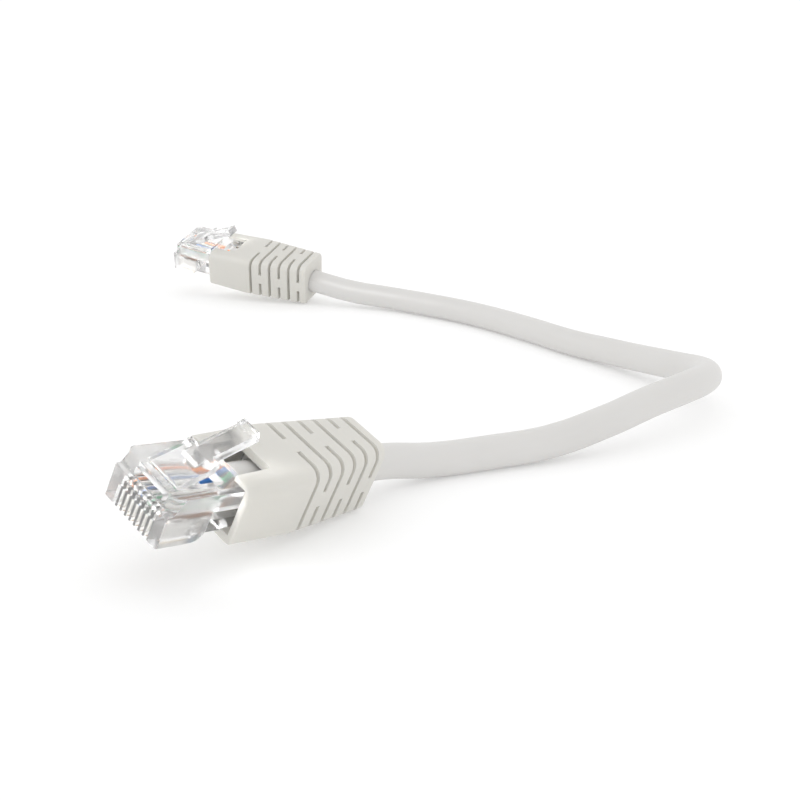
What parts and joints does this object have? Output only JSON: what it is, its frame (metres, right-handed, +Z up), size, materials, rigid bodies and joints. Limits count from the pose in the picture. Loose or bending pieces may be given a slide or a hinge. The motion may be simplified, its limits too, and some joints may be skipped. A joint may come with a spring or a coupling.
{
  "type": "network patch lead",
  "caption": "Short light-grey network patch lead: a round cable bent back on itself, with a clear latched modular plug in a slotted strain-relief boot at each end.",
  "frame": {"origin": "on the surface the lead lies on, under the middle of the box around the two plugs and their boots", "axes": "+Z up, +Y from the near end towards the far end, and the cable's bend lies towards +X"},
  "size_m": [0.1173, 0.1893, 0.0189],
  "materials": {
    "jacket_pvc": "smooth satin PVC jacket, warm light grey",
    "boot_pvc": "fine matt moulded PVC, warm light grey",
    "clear_plastic": "clear moulded polycarbonate",
    "gilt_contact": "gold-plated phosphor bronze",
    "white_orange_insulation": "white with an orange stripe",
    "orange_insulation": "glossy orange",
    "white_green_insulation": "white with a green stripe",
    "blue_insulation": "glossy blue",
    "white_blue_insulation": "white with a blue stripe",
    "green_insulation": "glossy green",
    "white_brown_insulation": "white with a brown stripe",
    "brown_insulation": "glossy brown"
  },
  "bodies": {
    "lead": {"cable": "jacket_pvc", "plug_body_a": "clear_plastic", "contacts_a": "gilt_contact", "boot_a": "boot_pvc", "jacket_end_a": "jacket_pvc", "wire_1_white_orange_a": "white_orange_insulation", "wire_2_orange_a": "orange_insulation", "wire_3_white_green_a": "white_green_insulation", "wire_4_blue_a": "blue_insulation", "wire_5_white_blue_a": "white_blue_insulation", "wire_6_green_a": "green_insulation", "wire_7_white_brown_a": "white_brown_insulation", "wire_8_brown_a": "brown_insulation", "plug_body_b": "clear_plastic", "contacts_b": "gilt_contact", "boot_b": "boot_pvc", "jacket_end_b": "jacket_pvc", "wire_1_white_orange_b": "white_orange_insulation", "wire_2_orange_b": "orange_insulation", "wire_3_white_green_b": "white_green_insulation", "wire_4_blue_b": "blue_insulation", "wire_5_white_blue_b": "white_blue_insulation", "wire_6_green_b": "green_insulation", "wire_7_white_brown_b": "white_brown_insulation", "wire_8_brown_b": "brown_insulation"},
    "latch_a": {"latch_a": "clear_plastic"},
    "latch_b": {"latch_b": "clear_plastic"}
  },
  "joints": [
    {"name": "latch_a_press", "type": "hinge", "parent": "lead", "child": "latch_a", "pos_m": [0.00173, -0.08924, 0.01438], "axis": [-0.6535, 0.6607, 0.3695], "range_deg": [0, 12], "stiffness_Nm_per_rad": 0.05},
    {"name": "latch_b_press", "type": "hinge", "parent": "lead", "child": "latch_b", "pos_m": [-0.02335, 0.0859, 0.01454], "axis": [0.406, 0.8617, 0.3043], "range_deg": [0, 12], "stiffness_Nm_per_rad": 0.05}
  ]
}
